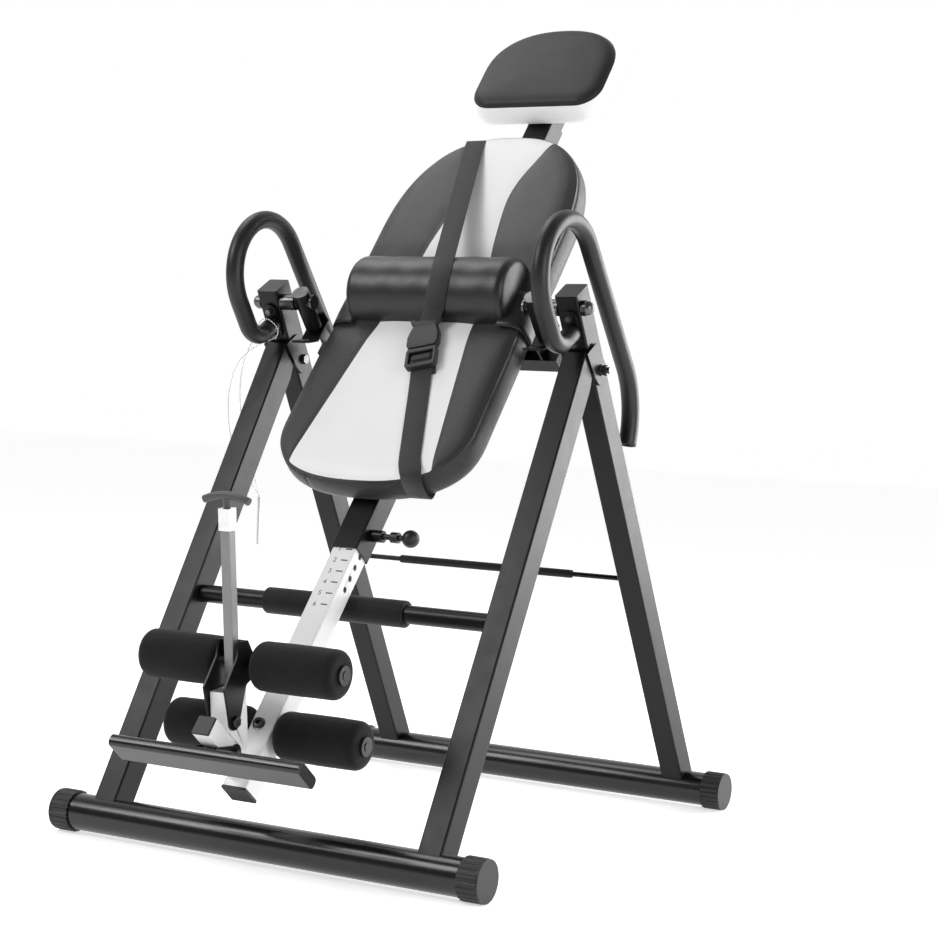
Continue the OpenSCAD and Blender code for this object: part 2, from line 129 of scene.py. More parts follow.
def bevelled(obj, width, segments=3, angle=35):
    mod = obj.modifiers.new("round", "BEVEL")
    mod.width = width
    mod.segments = segments
    mod.limit_method = "ANGLE"
    mod.angle_limit = math.radians(angle)
    return apply_modifiers(obj)


def smooth_line(points, step):
    """Points every `step` along a Catmull-Rom curve through the given ones."""
    p = np.array(points, float)
    p = np.vstack([2 * p[0] - p[1], p, 2 * p[-1] - p[-2]])
    fine = []
    for i in range(1, len(p) - 2):
        for t in np.linspace(0, 1, 24, endpoint=False):
            a, b, c, d = p[i - 1], p[i], p[i + 1], p[i + 2]
            fine.append(0.5 * (2 * b + (c - a) * t + (2 * a - 5 * b + 4 * c - d) * t**2
                               + (3 * b - a - 3 * c + d) * t**3))
    fine.append(p[-2])
    fine = np.array(fine)
    along = np.r_[0, np.cumsum(np.linalg.norm(np.diff(fine, axis=0), axis=1))]
    count = max(2, int(round(along[-1] / step)) + 1)
    at = np.linspace(0, along[-1], count)
    return np.stack([np.interp(at, along, fine[:, k]) for k in range(3)], 1), along[-1]


def unit_tangents(path):
    tangents = np.gradient(path, axis=0)
    return tangents / np.linalg.norm(tangents, axis=1)[:, None]


def frames_along(path):
    """Tangent and two side vectors at each point, carried along without twist."""
    tangents = unit_tangents(path)
    side = np.cross(tangents[0], [0.3, 0.9, 0.2])
    sides = []
    for t in tangents:
        side = side - t * (side @ t)
        side /= np.linalg.norm(side)
        sides.append(side.copy())
    sides = np.array(sides)
    return tangents, sides, np.cross(tangents, sides)


def ring_faces(rings, count):
    """Quads between neighbouring rings of `count` points each, numbered one ring after another."""
    faces = []
    for i in range(rings - 1):
        for k in range(count):
            n = (k + 1) % count
            faces.append((i * count + k, i * count + n, (i + 1) * count + n, (i + 1) * count + k))
    return faces


def end_faces(rings, count):
    """The two faces that close the first and the last of such rings."""
    return [tuple(range(count))[::-1], tuple((rings - 1) * count + k for k in range(count))]


def sweep(name, path, radii, count, materials, frames=None):
    """A round tube along a path, whose radius may change from ring to ring."""
    _, u, w = frames or frames_along(path)
    turn = np.linspace(0, 2 * math.pi, count, endpoint=False)
    rings = [path[i] + radii[i] * (np.outer(np.cos(turn), u[i]) + np.outer(np.sin(turn), w[i]))
             for i in range(len(path))]
    faces = ring_faces(len(path), count) + end_faces(len(path), count)
    return tidy_mesh(mesh_object(name, np.vstack(rings), faces, materials), 1e-6)


def lathe_x(name, profile, y, z, count, material, mirror=1):
    """Turns a closed ring of (x, radius) points round the X axis through (y, z)."""
    turn = np.linspace(0, 2 * math.pi, count, endpoint=False)
    verts = [(mirror * x, y + r * math.cos(a), z + r * math.sin(a)) for x, r in profile for a in turn]
    total = len(verts)
    faces = [tuple(v % total for v in quad) for quad in ring_faces(len(profile) + 1, count)]
    return tidy_mesh(mesh_object(name, verts, faces, [material]), 1e-6)


def plate(name, outline, place, z0, z1, materials, hole=None):
    """A flat piece cut to an outline, between two depths, which place(x, y, z) puts in the row frame."""
    bm = bmesh.new()
    loops = []
    for ring in [outline] + ([hole] if hole else []):
        verts = [bm.verts.new(place(x, y, z0)) for x, y in ring]
        loops += [bm.edges.new((verts[i], verts[(i + 1) % len(verts)])) for i in range(len(verts))]
    fill = bmesh.ops.triangle_fill(bm, use_beauty=True, edges=loops)
    faces = [g for g in fill["geom"] if isinstance(g, bmesh.types.BMFace)]
    out = bmesh.ops.extrude_face_region(bm, geom=faces)
    moved = [g for g in out["geom"] if isinstance(g, bmesh.types.BMVert)]
    shift = Vector(place(0, 0, z1)) - Vector(place(0, 0, z0))
    bmesh.ops.translate(bm, verts=moved, vec=shift)
    bmesh.ops.recalc_face_normals(bm, faces=bm.faces)
    mesh = bpy.data.meshes.new(name)
    bm.to_mesh(mesh)
    bm.free()
    for m in materials:
        mesh.materials.append(m)
    obj = bpy.data.objects.new(name, mesh)
    bpy.context.scene.collection.objects.link(obj)
    return obj


def join(name, objects):
    """One object out of several, with the materials of each kept."""
    materials, verts, faces, slots, smooth = [], [], [], [], []
    for o in objects:
        base = len(verts)
        index = []
        for m in o.data.materials:
            if m not in materials:
                materials.append(m)
            index.append(materials.index(m))
        verts += [o.matrix_world @ v.co for v in o.data.vertices]
        for p in o.data.polygons:
            faces.append([base + v for v in p.vertices])
            slots.append(index[p.material_index] if index else 0)
            smooth.append(p.use_smooth)
        bpy.data.objects.remove(o)
    made = mesh_object(name, verts, faces, materials, slots)
    made.data.polygons.foreach_set("use_smooth", smooth)
    return made


# ---------------------------------------------------------------- materials
class Shader:
    """A Principled material and short ways to add nodes to it."""

    def __init__(self, name, roughness=0.5, metallic=0.0, specular=0.5, sheen=0.0, coat=0.0):
        self.material = bpy.data.materials.new(name)
        self.material.use_nodes = True
        self.tree = self.material.node_tree
        self.bsdf = self.tree.nodes["Principled BSDF"]
        self.bsdf.inputs["Roughness"].default_value = roughness
        self.bsdf.inputs["Metallic"].default_value = metallic
        self.bsdf.inputs["Specular IOR Level"].default_value = specular
        self.bsdf.inputs["Sheen Weight"].default_value = sheen
        self.bsdf.inputs["Coat Weight"].default_value = coat
        self.bsdf.inputs["Coat Roughness"].default_value = 0.25
        self.coords = self.tree.nodes.new("ShaderNodeTexCoord").outputs["Object"]

    def node(self, kind, **values):
        made = self.tree.nodes.new("ShaderNode" + kind)
        for key, value in values.items():
            setattr(made, key, value)
        return made

    def link(self, a, b):
        self.tree.links.new(a, b)

    def noise(self, scale, detail=4.0, stretch=None):
        n = self.node("TexNoise")
        n.inputs["Scale"].default_value = scale
        n.inputs["Detail"].default_value = detail
        self.link(self.mapped(stretch), n.inputs["Vector"])
        return n.outputs["Fac"]

    def cells(self, scale, feature="F1", stretch=None):
        n = self.node("TexVoronoi", feature=feature)
        n.inputs["Scale"].default_value = scale
        self.link(self.mapped(stretch), n.inputs["Vector"])
        return n.outputs["Distance"]

    def mapped(self, stretch):
        if stretch is None:
            return self.coords
        m = self.node("Mapping")
        m.inputs["Scale"].default_value = stretch
        self.link(self.coords, m.inputs["Vector"])
        return m.outputs["Vector"]

    def ramp(self, factor, low, high, start=0.3, end=0.7):
        r = self.node("ValToRGB")
        r.color_ramp.elements[0].position = start
        r.color_ramp.elements[1].position = end
        r.color_ramp.elements[0].color = (*low, 1)
        r.color_ramp.elements[1].color = (*high, 1)
        self.link(factor, r.inputs["Fac"])
        return r.outputs["Color"]

    def spread(self, factor, low, high):
        m = self.node("MapRange")
        m.inputs["To Min"].default_value = low
        m.inputs["To Max"].default_value = high
        self.link(factor, m.inputs["Value"])
        return m.outputs["Result"]

    def color(self, output):
        self.link(output, self.bsdf.inputs["Base Color"])

    def rough(self, output):
        self.link(output, self.bsdf.inputs["Roughness"])

    def bump(self, height, distance, strength=1.0):
        b = self.node("Bump")
        b.inputs["Distance"].default_value = distance
        b.inputs["Strength"].default_value = strength
        before = self.bsdf.inputs["Normal"].links
        if before:
            self.link(before[0].from_socket, b.inputs["Normal"])
        self.link(height, b.inputs["Height"])
        self.link(b.outputs["Normal"], self.bsdf.inputs["Normal"])


def tones(value, spread):
    """Two neutral greys round a value."""
    return (value * (1 - spread),) * 3, (value * (1 + spread),) * 3


def coated(name, value, roughness, grain=900.0, specular=0.5, coat=0.0, cloud=0.14):
    """Powder coat: fine orange peel, cloudy gloss, a little dust in the tone."""
    s = Shader(name, roughness, 0.0, specular, coat=coat)
    s.color(s.ramp(s.noise(14, 3), *tones(value, cloud)))
    s.rough(s.spread(s.noise(40, 5), roughness - 0.06, roughness + 0.07))
    s.bump(s.noise(grain, 2), 0.00012, 0.55)
    return s.material


def leather(name, value, roughness, grain=620.0, depth=0.00022, specular=0.45, cloud=0.12):
    """Artificial leather: pebbled cells, pores and a soft cloudy gloss."""
    s = Shader(name, roughness, 0.0, specular, sheen=0.06)
    s.color(s.ramp(s.noise(22, 5), *tones(value, cloud)))
    s.rough(s.spread(s.noise(90, 4), roughness - 0.07, roughness + 0.08))
    s.bump(s.noise(16, 3), 0.0008, 0.25)
    s.bump(s.cells(grain, "SMOOTH_F1"), depth, 0.9)
    s.bump(s.noise(grain * 2.4, 3), depth * 0.5, 0.6)
    return s.material


def foam(name, value, roughness=0.92):
    """Closed-cell foam: small open cells, matte, slightly mottled."""
    s = Shader(name, roughness, 0.0, 0.25, sheen=0.12)
    s.color(s.ramp(s.noise(60, 6), *tones(value, 0.3)))
    s.bump(s.noise(35, 3), 0.0008, 0.4)
    s.bump(s.cells(900), 0.00035, 0.8)
    return s.material


def metal(name, value, roughness, stretch=(1, 1, 1), specular=0.5):
    """Turned or brushed metal with fine lines and smudged gloss."""
    s = Shader(name, roughness, 1.0, specular)
    s.color(s.ramp(s.noise(50, 4), *tones(value, 0.08)))
    s.rough(s.spread(s.noise(260, 4, stretch), roughness - 0.07, roughness + 0.1))
    s.bump(s.noise(900, 2, stretch), 0.00006, 0.5)
    return s.material


def plastic(name, value, roughness, grain=1400.0):
    """Moulded plastic with a spark-eroded texture."""
    s = Shader(name, roughness, 0.0, 0.45)
    s.color(s.ramp(s.noise(30, 3), *tones(value, 0.12)))
    s.rough(s.spread(s.noise(120, 3), roughness - 0.06, roughness + 0.08))
    s.bump(s.cells(grain), 0.0001, 0.6)
    return s.material


def webbing(name, value):
    """Nylon webbing: close ribs across the strap and a fine yarn twist."""
    s = Shader(name, 0.72, 0.0, 0.35, sheen=0.25)
    s.color(s.ramp(s.noise(45, 4), *tones(value, 0.2)))
    for direction, scale, depth in (("Z", 330.0, 0.0004), ("X", 250.0, 0.0003)):
        wave = s.node("TexWave", bands_direction=direction)
        wave.inputs["Scale"].default_value = scale
        wave.inputs["Distortion"].default_value = 0.6
        s.link(s.coords, wave.inputs["Vector"])
        s.bump(wave.outputs["Fac"], depth, 0.7)
    return s.material


def wood(name):
    """Plywood: long grain with darker pores."""
    s = Shader(name, 0.7, 0.0, 0.3)
    s.color(s.ramp(s.noise(14, 8, (1, 9, 9)), (0.16, 0.1, 0.055), (0.33, 0.22, 0.13)))
    s.bump(s.noise(60, 6, (1, 9, 9)), 0.0004, 0.5)
    return s.material


FRAME_BLACK = coated("frame_black", 0.004, 0.32, specular=0.24)
BASE_BLACK = coated("base_black", 0.004, 0.22, specular=0.4, coat=0.25)
HANDLE_BLACK = coated("handle_black", 0.008, 0.4, grain=700, specular=0.42)
TUBE_WHITE = coated("tube_white", 0.82, 0.34, cloud=0.015)
LEVER_GREY = coated("lever_grey", 0.15, 0.3, specular=0.8, coat=0.3)
LEATHER_BLACK = leather("leather_black", 0.02, 0.44, depth=0.0003)
BOLSTER_BLACK = leather("bolster_black", 0.010, 0.36, grain=800, depth=0.00012)
LEATHER_WHITE = leather("leather_white", 0.82, 0.5, grain=900, depth=0.00008, cloud=0.012)
LEATHER_GREY = leather("leather_grey", 0.014, 0.45, grain=900, depth=0.0001, specular=0.24)
FOAM_BLACK = foam("foam_black", 0.0045)
SLEEVE_BLACK = foam("sleeve_black", 0.006, 0.7)
PLASTIC_BLACK = plastic("plastic_black", 0.010, 0.42)
BUCKLE_BLACK = plastic("buckle_black", 0.013, 0.38)
CAP_GREY = plastic("cap_grey", 0.27, 0.42)
BUSH_GREY = plastic("bush_grey", 0.15, 0.5)
WEBBING = webbing("webbing_black", 0.017)
BOLT = metal("bolt_dark", 0.12, 0.3)
WASHER = metal("washer_grey", 0.08, 0.34)
GRIP_GREY = coated("grip_grey", 0.055, 0.4)
CHROME = metal("chain_silver", 0.83, 0.14)
COLLAR = metal("collar_silver", 0.72, 0.27, (1, 1, 12))
PLYWOOD = wood("plywood")
MARK = plastic("scale_marks", 0.03, 0.6)
STITCH = webbing("seam_thread", 0.05)


# ---------------------------------------------------------------- CAD pieces that stay
FINISH = {
    "frame_black": FRAME_BLACK, "handle_black": HANDLE_BLACK, "plastic_black": PLASTIC_BLACK,
    "cap_grey": CAP_GREY, "foam_black": FOAM_BLACK, "tube_white": TUBE_WHITE,
    "leather_black": LEATHER_BLACK, "leather_white": LEATHER_WHITE, "webbing_black": WEBBING,
    "plywood": PLYWOOD, "bolt_dark": BOLT, "steel_silver": CHROME, "lever_grey": LEVER_GREY,
    "collar_silver": COLLAR, "bush_grey": BUSH_GREY,
}
SPECIAL = {"rear_base_tube": BASE_BLACK, "front_base_tube": BASE_BLACK, "foot_bar": BASE_BLACK,
           "rear_axle": WASHER, "front_axle": WASHER, "clamp_bolt": WASHER, "release_handle": GRIP_GREY,
           "pivot_bushes": FRAME_BLACK, "pivot_shafts": BOLT}
EDGE = 0.7  # width of the rounding on a CAD edge, mm, unless it is listed here
ROUNDED = {"foot_bar": 5.5, "rear_base_caps": 0.5, "front_base_caps": 0.5, "pull_pin": 0.6,
           "release_handle": 0.0, "rear_cross_rod": 0.0, "pivot_bushes": 0.3}


def finish_cad_nodes():
    """Material, welded mesh, rounded edges and even normals for every CAD node."""
    slot_of = {p["node"]: p["material_slot"] for p in frame["record"]["subparts"]}
    for name, obj in NODES.items():
        obj.data.materials.clear()
        obj.data.materials.append(SPECIAL.get(name, FINISH[slot_of[name]]))
        custom = obj.data.attributes.get("custom_normal")
        if custom:
            obj.data.attributes.remove(custom)
        obj.data.polygons.foreach_set("use_smooth", [True] * len(obj.data.polygons))
        weld = obj.modifiers.new("weld", "WELD")
        weld.merge_threshold = 2e-5
        width = ROUNDED.get(name, EDGE)
        if width:
            bevel = obj.modifiers.new("edges", "BEVEL")
            bevel.width = width * MM
            bevel.segments = 2
            bevel.limit_method = "ANGLE"
            bevel.angle_limit = math.radians(38)
            bevel.use_clamp_overlap = True
        split = obj.modifiers.new("split", "EDGE_SPLIT")
        split.split_angle = math.radians(46)
        weighted = obj.modifiers.new("normals", "WEIGHTED_NORMAL")
        weighted.keep_sharp = True


finish_cad_nodes()


# ---------------------------------------------------------------- chain
# The route in part.scad: x, behind the front base tube, height
CHAIN_ROUTE = [
    (-291, 380, 486), (-294, 373, 494), (-297, 360, 508), (-299, 342, 528), (-300, 325, 550),
    (-300, 309, 575), (-300, 299, 600), (-299, 294, 630), (-297, 293, 658), (-294, 297, 682),
    (-290, 307, 702), (-284, 323, 718), (-277, 342, 730), (-266, 357, 738),
    (-254, 354, 743), (-248, 348, 754), (-254, 342, 765), (-266, 339, 770),
    (-278, 341, 765), (-284, 344, 754), (-286, 338, 740), (-288, 328, 722), (-290, 318, 700),
    (-292, 315, 675), (-294, 317, 648), (-295, 323, 620), (-296, 332, 593), (-296, 344, 566),
    (-296, 357, 541), (-296, 368, 518), (-297, 379, 498), (-297, 383, 486)]
BEAD_R = 1.2 * MM
BEAD_PITCH = 3.4 * MM


def make_chain():
    """Ball chain: one line of beads on a thin wire, as one tube whose radius swells at each bead."""
    route = [(x * MM, FRONT_Y + y * MM, z * MM) for x, y, z in CHAIN_ROUTE]
    per_bead = 8
    path, length = smooth_line(route, BEAD_PITCH / per_bead)
    place = np.arange(len(path)) % per_bead / per_bead * BEAD_PITCH - BEAD_PITCH / 2
    bead = np.sqrt(np.clip(BEAD_R**2 - place**2, 0, None))
    radii = np.maximum(bead, 0.32 * MM)
    chain = sweep("ball_chain", path, radii, 8, [CHROME])
    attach(chain, "root")
    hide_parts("chain")


make_chain()


# ---------------------------------------------------------------- handles
HANDLE_X = 0.266
HANDLE_R = 14 * MM
BENDS = [(27, 34, 84.5), (42, 84.5, 176.5), (228, 125, 52), (15, 0, 0)]  # straight, radius, angle
POST_LEAN = math.radians(30.055)
POST_TOP = np.array([FRONT_Y + 0.35435, 0.8237])
HANDLE_DROP = 57 * MM
POST_HALF = (41.8 / 2 + 4.1) * MM


def handle_line():
    """The handle's centre line in its own plane, as (y, z) points."""
    down = np.array([math.sin(POST_LEAN), -math.cos(POST_LEAN)])
    out = -np.array([math.cos(POST_LEAN), math.sin(POST_LEAN)])
    p = POST_TOP + HANDLE_DROP * down + POST_HALF * out
    heading = math.pi + POST_LEAN
    line = [p]
    for straight, radius, angle in BENDS:
        ahead = np.array([math.cos(heading), math.sin(heading)])
        for k in range(1, 5):
            line.append(p + ahead * straight * MM * k / 4)
        p = line[-1]
        steps = max(1, int(angle / 4))
        centre = p + radius * MM * np.array([math.sin(heading), -math.cos(heading)])
        for k in range(1, steps + 1 if radius else 1):
            a = heading + math.pi / 2 - math.radians(angle) * k / steps
            line.append(centre + radius * MM * np.array([math.cos(a), math.sin(a)]))
        p = line[-1]
        heading -= math.radians(angle)
    return line


def make_handle(side, name, node):
    """Tube handle with a soft matte coat, open at its lower end."""
    path = np.array([(side * HANDLE_X, y, z) for y, z in handle_line()])
    mouth = [(0.4 * MM, HANDLE_R - 0.4 * MM), (0.0, HANDLE_R - 1.6 * MM), (-5.6 * MM, HANDLE_R - 1.9 * MM)]
    radii = [HANDLE_R] * len(path) + [r for _, r in mouth]
    end = path[-1] - path[-2]
    end /= np.linalg.norm(end)
    frames = [np.vstack([v, [v[-1]] * len(mouth)]) for v in frames_along(path)]
    path = np.vstack([path] + [path[-1:] + end * ahead for ahead, _ in mouth])
    tube = sweep(name, path, radii, 36, [HANDLE_BLACK], frames)
    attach(tube, "root")
    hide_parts(node)


make_handle(-1, "handle_grip_left", "handle_left")
make_handle(1, "handle_grip_right", "handle_right")


# ---------------------------------------------------------------- foam rollers and sleeves
def rounded_sleeve(x0, x1, inner, outer, edge, barrel=0.0):
    """Closed (x, radius) profile of a foam sleeve with rounded ends and a slight barrel."""
    profile = [(x0, inner), (x0, inner + 0.25 * (outer - inner))]
    quarter = np.linspace(0, math.pi / 2, 7)
    profile += [(x0 + edge * (1 - math.sin(a)), outer - edge * (1 - math.cos(a))) for a in quarter[::-1]]
    for k in range(1, 8):
        t = k / 8
        profile.append((x0 + edge + (x1 - x0 - 2 * edge) * t, outer + barrel * math.sin(math.pi * t)))
    profile += [(x1 - edge + edge * math.sin(a), outer - edge + edge * math.cos(a)) for a in quarter]
    profile += [(x1, inner + 0.25 * (outer - inner)), (x1, inner)]
    return profile


ROLLER_LEN = 133 * MM
ROLLER_R = 34.8 * MM


def make_roller(name, node, side, body):
    """Foam roller on its plastic core, which shows as a ring at each end."""
    low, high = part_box(node)
    y, z = (low.y + high.y) / 2, (low.z + high.z) / 2
    start = low.x if side > 0 else -high.x
    profile = rounded_sleeve(start, start + ROLLER_LEN, 6.3 * MM, ROLLER_R - 0.4 * MM, 11 * MM, 0.5 * MM)
    half_core = [(0.1 * MM, 6.1 * MM), (0.1 * MM, 10 * MM), (-0.4 * MM, 10.4 * MM)]
    core = [(start - past, r) for past, r in half_core]
    core += [(start + ROLLER_LEN + past, r) for past, r in half_core[::-1]]
    sleeve = lathe_x(name, profile, y, z, 72, FOAM_BLACK, side)
    tube = lathe_x(name + "_core", core, y, z, 40, PLASTIC_BLACK, side)
    dent(sleeve, 0.5 * MM)
    for piece in (sleeve, tube):
        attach(piece, body)
    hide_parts(node)


def dent(obj, depth):
    """Shallow uneven dents, as soft foam has, from a fixed sum of waves."""
    co = np.array([v.co for v in obj.data.vertices])
    normals = np.array([v.normal for v in obj.data.vertices])
    wave = (np.sin(co[:, 0] * 61 + co[:, 1] * 43) + np.sin(co[:, 1] * 97 - co[:, 2] * 71 + 1.3)
            + np.sin(co[:, 0] * 137 + co[:, 2] * 53 + 2.1)) / 3
    co -= normals * (depth * (0.5 + 0.5 * wave))[:, None]
    obj.data.vertices.foreach_set("co", co.ravel())
    obj.data.update()


for row in ("rear", "front"):
    for hand, sign in (("left", -1), ("right", 1)):
        make_roller(f"foam_roller_{row}_{hand}", f"{row}_roller_{hand}", sign, f"roller_{row}_{hand}")


def make_sleeve(name, node, body, inner, outer, edge):
    """Fixed foam sleeve on a round bar."""
    low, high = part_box(node)
    profile = rounded_sleeve(low.x, high.x, inner, outer - 0.2 * MM, edge)
    piece = lathe_x(name, profile, (low.y + high.y) / 2, (low.z + high.z) / 2, 56, SLEEVE_BLACK)
    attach(piece, body)
    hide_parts(node)


make_sleeve("crossbar_foam", "crossbar_sleeve", "front_frame", 13.6 * MM, 20 * MM, 2.5 * MM)
make_sleeve("rod_foam", "rear_rod_sleeve", "root", 4.1 * MM, 6.75 * MM, 1.0 * MM)


# ---------------------------------------------------------------- pads
# All in mm, in the bed's frame. A pad's tip is where its round end starts, its reach and its direction.
SEAM_BACK = 41.0
PAD_T = 45.0
PAD_HALF = 164.0
CROWN = 6.5
TIP_POWER = 2.5
CAP_HALF = 90.0  # half width at which the rows turn into the curve of the pad's tip
LOWER_TIP = (-200, 107.6, -1)
UPPER_TIP = (190, 213.6, 1)
BOLSTER_UP = 57.6
BOLSTER_R = 59.0
BOLSTER_HALF = 140.0


def super_half(up, start, depth, direction):
    """Half width of a pad that ends in a superellipse, at a height along the bed."""
    t = np.clip((up - start) * direction / depth, 0, 1)
    return PAD_HALF * (1 - t**TIP_POWER) ** (1 / TIP_POWER)


def distance_to(points, outline):
    """Distance of each (x, up) point from a closed outline."""
    a = outline
    b = np.roll(outline, -1, axis=0)
    d = b - a
    length2 = np.maximum((d * d).sum(1), 1e-12)
    best = np.full(len(points), 1e9)
    for i in range(len(a)):
        t = np.clip(((points - a[i]) @ d[i]) / length2[i], 0, 1)
        near = a[i] + t[:, None] * d[i]
        best = np.minimum(best, np.hypot(*(points - near).T))
    return best


def puffed(obj, pinned, pressure, cap):
    """Cloth simulation that swells the cover between its pinned seams, with a capped move."""
    rest = np.array([v.co for v in obj.data.vertices])
    group = obj.vertex_groups.new(name="pin")
    for index, weight in pinned.items():
        group.add([index], weight, "REPLACE")
    cloth = obj.modifiers.new("cloth", "CLOTH")
    cloth.settings.quality = 4
    cloth.settings.mass = 0.4
    cloth.settings.tension_stiffness = 30
    cloth.settings.compression_stiffness = 30
    cloth.settings.shear_stiffness = 12
    cloth.settings.bending_stiffness = 1.5
    cloth.settings.use_pressure = True
    cloth.settings.uniform_pressure_force = pressure
    cloth.settings.vertex_group_mass = "pin"
    cloth.settings.effector_weights.gravity = 0
    cloth.point_cache.frame_start = 1
    cloth.point_cache.frame_end = 16
    scene = bpy.context.scene
    for n in range(1, 17):
        scene.frame_set(n)
    graph = bpy.context.evaluated_depsgraph_get()
    moved = np.array([v.co for v in obj.evaluated_get(graph).data.vertices])
    scene.frame_set(1)
    obj.modifiers.clear()
    obj.vertex_groups.clear()
    step = moved - rest
    size = np.maximum(np.linalg.norm(step, axis=1), 1e-12)
    held = cap * np.tanh(size / cap) / size
    obj.data.vertices.foreach_set("co", (rest + step * held[:, None]).ravel())
    obj.data.update()


def tip_shift(x, h, depth, direction):
    """How far a row bends towards the tip, at x in a row of half width h."""
    def curve(v):
        return depth * (1 - np.clip(np.abs(v) / PAD_HALF, 0, 1) ** TIP_POWER) ** (1 / TIP_POWER)

    reach = curve(CAP_HALF)
    near = np.clip((h - PAD_HALF) / (CAP_HALF - PAD_HALF), 0, 1)
    return direction * (curve(x * CAP_HALF / h) - reach) * near**3


def make_pad(name, node, ups, half_at, insert_at, tip):
    """Pad cover: crowned black face with a white insert, sewn edge, bulging side and flat back."""
    rows = len(ups)
    side_cols, mid_cols = 14, 24
    marks = []
    for up in ups:
        h = max(half_at(up), 0.5)
        w = min(insert_at(up), h)
        left = np.linspace(-h, -w, side_cols + 1)
        mid = np.linspace(-w, w, mid_cols + 1)[1:]
        right = np.linspace(w, h, side_cols + 1)[1:]
        marks.append(np.r_[left, mid, right])
    x = np.array(marks)
    cols = x.shape[1]
    up = np.repeat(np.array(ups)[:, None], cols, 1)
    up = up + tip_shift(x, np.abs(x).max(1, keepdims=True), *tip[1:])
    flat = np.stack([x.ravel(), up.ravel()], 1)
    loop = ([(0, j) for j in range(cols)] + [(i, cols - 1) for i in range(1, rows)]
            + [(rows - 1, j) for j in range(cols - 2, -1, -1)] + [(i, 0) for i in range(rows - 2, 0, -1)])
    rim = np.array([(x[i, j], up[i, j]) for i, j in loop])
    far = distance_to(flat, rim)
    rise = np.clip(far / 26.0, 0, 1)  # the crown is full this far in from the edge
    clear_of_roll = np.clip(np.abs(flat[:, 1] - BOLSTER_UP) / 42.0 - 1.4, 0, 1)
    lift = CROWN * np.sqrt(1 - (1 - rise) ** 2.4) * (0.3 + 0.7 * clear_of_roll)
    seam_x = np.array([min(insert_at(u), half_at(u)) for u in up.ravel()])
    gap = np.abs(np.abs(flat[:, 0]) - seam_x)
    groove = 1.5 * np.exp(-((gap / 2.4) ** 2)) * np.clip(far / 6.0, 0, 1)
    back = SEAM_BACK - lift + groove
    verts = [bed(x_mm, b, u) for (x_mm, u), b in zip(flat, back)]
    faces, slots = [], []
    for i in range(rows - 1):
        for j in range(cols - 1):
            a = i * cols + j
            faces.append((a, a + 1, a + cols + 1, a + cols))
            slots.append(1 if side_cols <= j < side_cols + mid_cols else 0)
    centre = rim.mean(0)
    nxt, prv = np.roll(rim, -1, 0), np.roll(rim, 1, 0)
    along = nxt - prv
    out = np.stack([along[:, 1], -along[:, 0]], 1)
    out /= np.maximum(np.linalg.norm(out, axis=1), 1e-9)[:, None]
    out *= np.sign(((rim - centre) * out).sum(1))[:, None]
    # piping at the seam, then the side wall and the turn to the back
    wall = [(0.9, 0.2), (1.7, 1.0), (1.6, 2.2), (0.4, 3.2), (2.2, 6.0), (4.0, 12.0), (5.2, 20.0),
            (5.8, 28.0), (5.4, 35.0), (3.4, 41.0), (-0.5, 44.2), (-7.0, PAD_T), (-15.0, PAD_T)]
    base = [i * cols + j for i, j in loop]
    rings = [base]
    for bulge, depth in wall:
        start = len(verts)
        verts += bed_outline(rim + out * bulge, SEAM_BACK + depth)
        rings.append(list(range(start, start + len(loop))))
    for upper, lower in zip(rings, rings[1:]):
        for k in range(len(loop)):
            n = (k + 1) % len(loop)
            faces.append((upper[k], lower[k], lower[n], upper[n]))
            slots.append(0)
    faces.append(tuple(rings[-1]))
    slots.append(0)
    pad = mesh_object(name, verts, faces, [LEATHER_BLACK, LEATHER_WHITE], slots)
    tidy_mesh(pad, 1e-5)
    for p in pad.data.polygons:
        p.use_smooth = len(p.vertices) < 20
    soften(pad)
    make_stitches(name + "_stitches", rim, out, 3.2, SEAM_BACK + 8.0)
    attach(pad, "bed")
    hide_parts(node)


def make_stitches(name, rim, out, bulge, back):
    """Short thread stitches all round a side band, just below its seam."""
    closed = np.vstack([rim, rim[:1]])
    along = np.r_[0, np.cumsum(np.hypot(*np.diff(closed, axis=0).T))]
    outs = np.vstack([out, out[:1]])
    verts, faces = [], []

    def spot(d):
        d = d % along[-1]
        p = [np.interp(d, along, closed[:, k]) for k in (0, 1)]
        o = [np.interp(d, along, outs[:, k]) for k in (0, 1)]
        return np.array(p), np.array(o) / np.hypot(*o)

    pitch = 5.2
    stitch = ((0, 0.15, -0.3), (0.6, 0.45, 0.1), (1.7, 0.5, 0.35), (2.8, 0.45, 0.1), (3.4, 0.15, -0.3))
    for d in np.arange(0, along[-1], pitch):
        rings = []
        for part, size, rise in stitch:
            p, o = spot(d + part)
            for a in (0, 90, 180, 270):
                q = p + o * (bulge + rise + size * math.cos(math.radians(a)))
                verts.append(bed(q[0], back + size * math.sin(math.radians(a)), q[1]))
            rings.append(len(verts) - 4)
        for a, b in zip(rings, rings[1:]):
            faces += [(a + k, a + (k + 1) % 4, b + (k + 1) % 4, b + k) for k in range(4)]
        faces += [tuple(rings[0] + k for k in range(4))[::-1], tuple(rings[-1] + k for k in range(4))]
    thread = tidy_mesh(mesh_object(name, verts, faces, [STITCH]), 1e-7)
    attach(thread, "bed")


